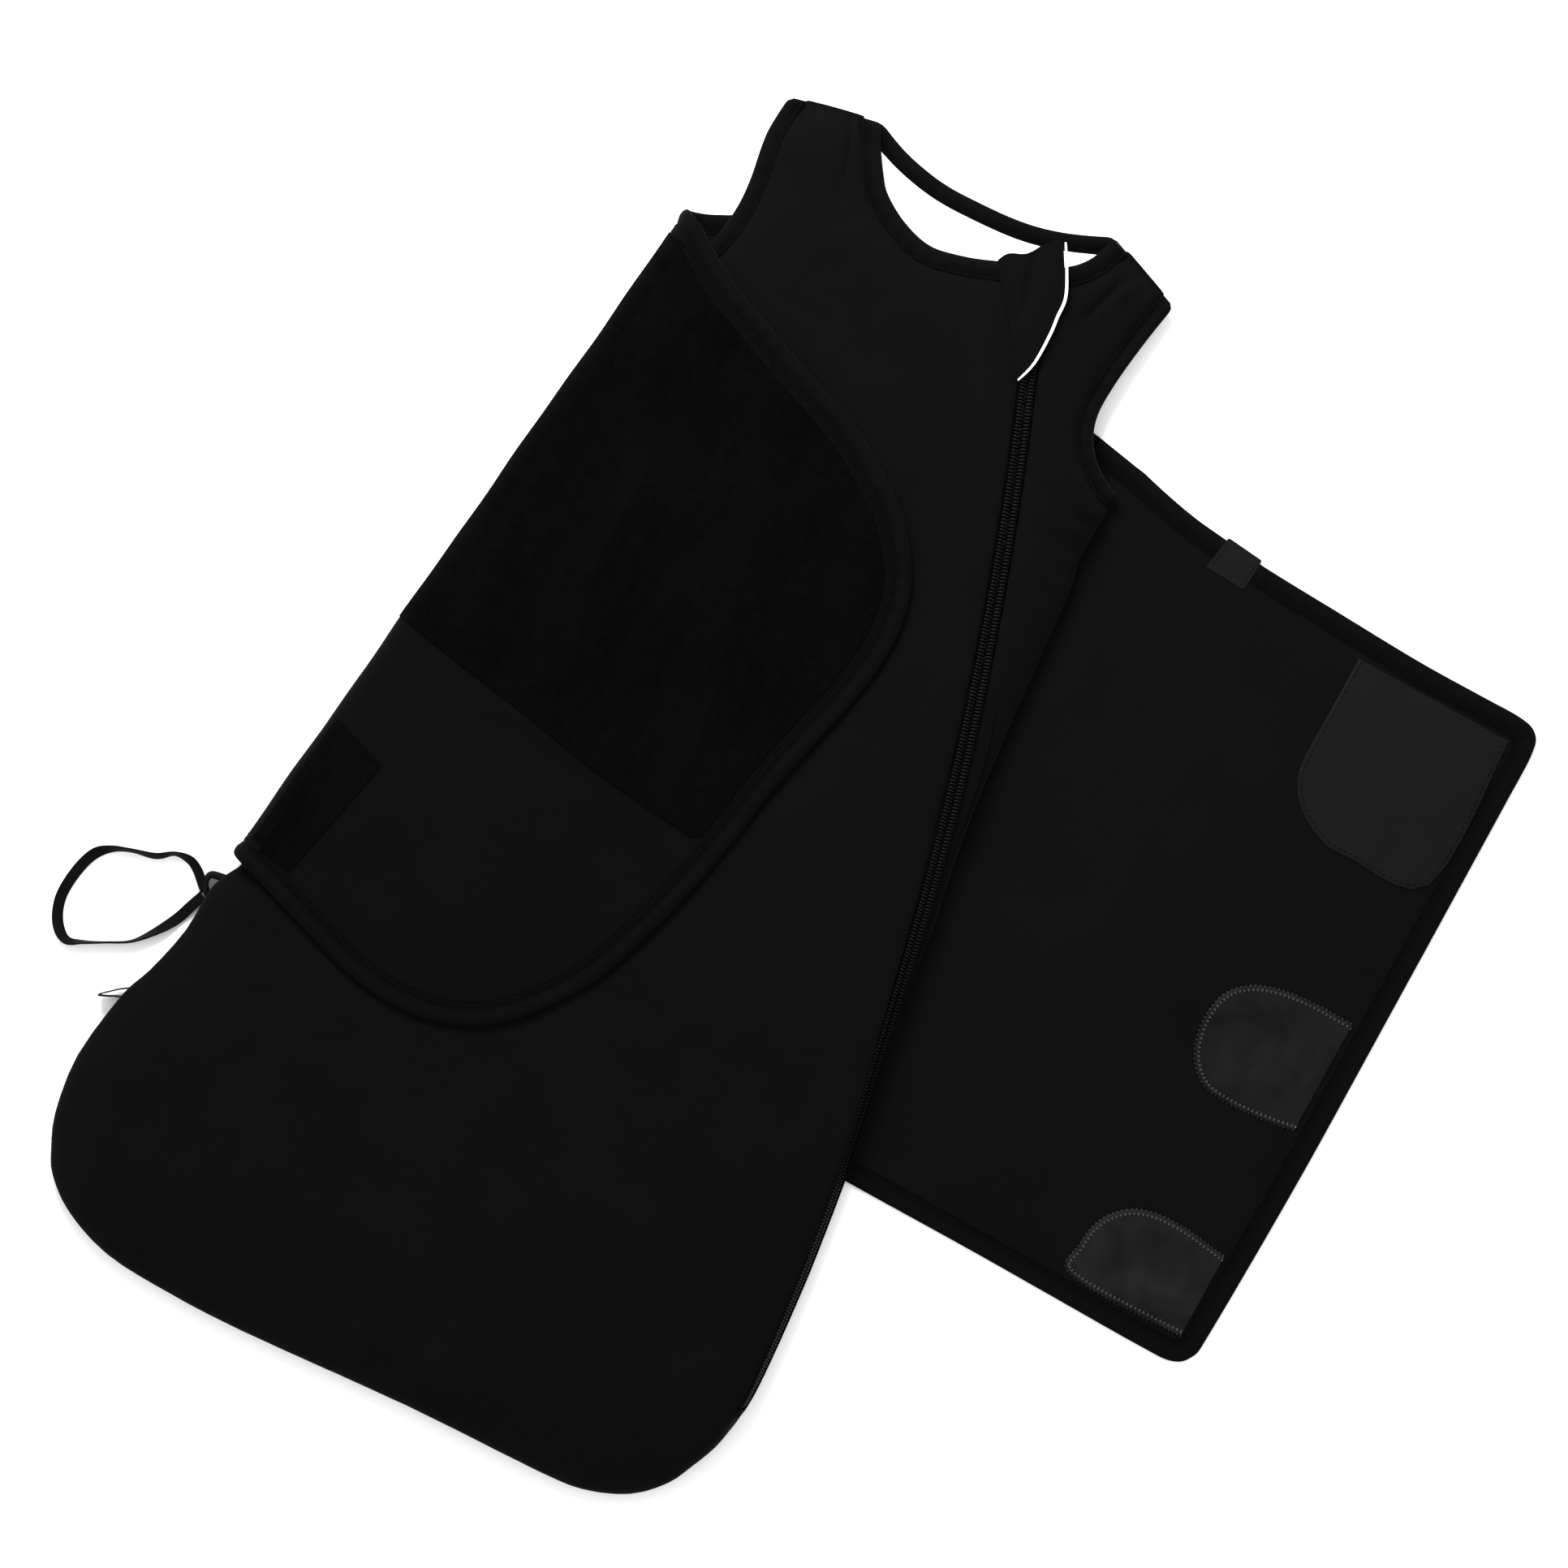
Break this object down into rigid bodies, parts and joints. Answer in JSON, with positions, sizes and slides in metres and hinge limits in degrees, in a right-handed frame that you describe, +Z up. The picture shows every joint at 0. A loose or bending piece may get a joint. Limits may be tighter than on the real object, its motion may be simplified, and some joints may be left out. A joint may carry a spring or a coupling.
{
  "type": "sleep bag swaddler",
  "caption": "Baby sleeping bag with a bound neck and armholes, a long curved front zip under a guard flap, and swaddle wings that lap over the front on hook and loop patches.",
  "frame": {"origin": "middle of the outline on the floor plane, elastic loop left out", "axes": "+X across the bag towards the open right wing, +Y towards the neck, +Z up through the front"},
  "size_m": [0.607, 0.6812, 0.0226],
  "materials": {
    "jersey": "soft knitted jersey, matt",
    "wing_jersey": "soft knitted jersey, matt",
    "binding": "folded jersey binding, top-stitched",
    "loop_velour": "brushed loop velour, matt",
    "hook_tape": "fine hook tape, slight sheen",
    "lining": "white cotton jersey",
    "wadding": "polyester wadding",
    "zip_tape": "woven polyester tape",
    "zip_coil": "nylon coil, satin",
    "zip_metal": "black enamelled zinc",
    "piping": "white cotton piping",
    "label": "woven tape, dark grey",
    "care_label": "printed satin label, left blank",
    "elastic": "flat knitted elastic"
  },
  "bodies": {
    "bag": {"back_outer_panel": "jersey", "back_wadding": "wadding", "back_lining": "lining", "front_left_outer": "jersey", "front_left_wadding": "wadding", "front_left_lining": "lining", "front_right_outer": "jersey", "front_right_wadding": "wadding", "front_right_lining": "lining", "neck_binding_back": "binding", "neck_binding_front_left": "binding", "neck_binding_front_right": "binding", "armhole_binding_left": "binding", "armhole_binding_right": "binding", "zip_tape_left": "zip_tape", "zip_tape_right": "zip_tape", "zip_coil_left": "zip_coil", "zip_coil_right": "zip_coil", "zip_top_stop_left": "zip_metal", "zip_top_stop_right": "zip_metal", "zip_bottom_stop": "zip_metal", "wing_band": "wing_jersey", "elastic_anchor_tab": "binding", "elastic_loop": "elastic", "care_label": "care_label"},
    "left_fold": {"left_wing_fold_strip": "wing_jersey"},
    "left_wing": {"left_wing_panel": "wing_jersey", "left_wing_binding": "binding", "loop_patch_large": "loop_velour", "loop_patch_small": "loop_velour"},
    "right_wing": {"right_wing_panel": "wing_jersey", "right_wing_binding": "binding", "hook_patch_large": "hook_tape", "hook_patch_middle": "hook_tape", "hook_patch_small": "hook_tape", "wing_label_tab": "label"},
    "zip_slider": {"zip_slider": "zip_metal", "zip_pull": "zip_metal"},
    "zip_guard": {"zip_guard": "jersey", "zip_guard_piping": "piping"}
  },
  "joints": [
    {"name": "left_fold_turn", "type": "hinge", "parent": "bag", "child": "left_fold", "pos_m": [-0.2339, 0.05755, 0.0014], "axis": [-0.1082, -0.9941, 0], "range_deg": [0, 89]},
    {"name": "left_wing_turn", "type": "hinge", "parent": "left_fold", "child": "left_wing", "pos_m": [-0.2339, 0.05755, 0.02], "axis": [-0.1082, -0.9941, 0], "range_deg": [0, 89]},
    {"name": "right_wing_turn", "type": "hinge", "parent": "bag", "child": "right_wing", "pos_m": [0.07045, 0.05655, 0.0128], "axis": [0.1287, -0.9917, 0], "range_deg": [0, 178]},
    {"name": "zip_slide", "type": "hinge", "parent": "bag", "child": "zip_slider", "pos_m": [-1.6439, -0.40445, 0.017], "axis": [0, 0, -1], "range_deg": [0, 18.5]},
    {"name": "guard_lift", "type": "hinge", "parent": "bag", "child": "zip_guard", "pos_m": [-0.0508, 0.27715, 0.0209], "axis": [0.5892, -0.808, 0], "range_deg": [0, 150]}
  ],
  "couplings": [
    {"joint": "left_wing_turn", "follows": "left_fold_turn", "ratio": 1}
  ]
}
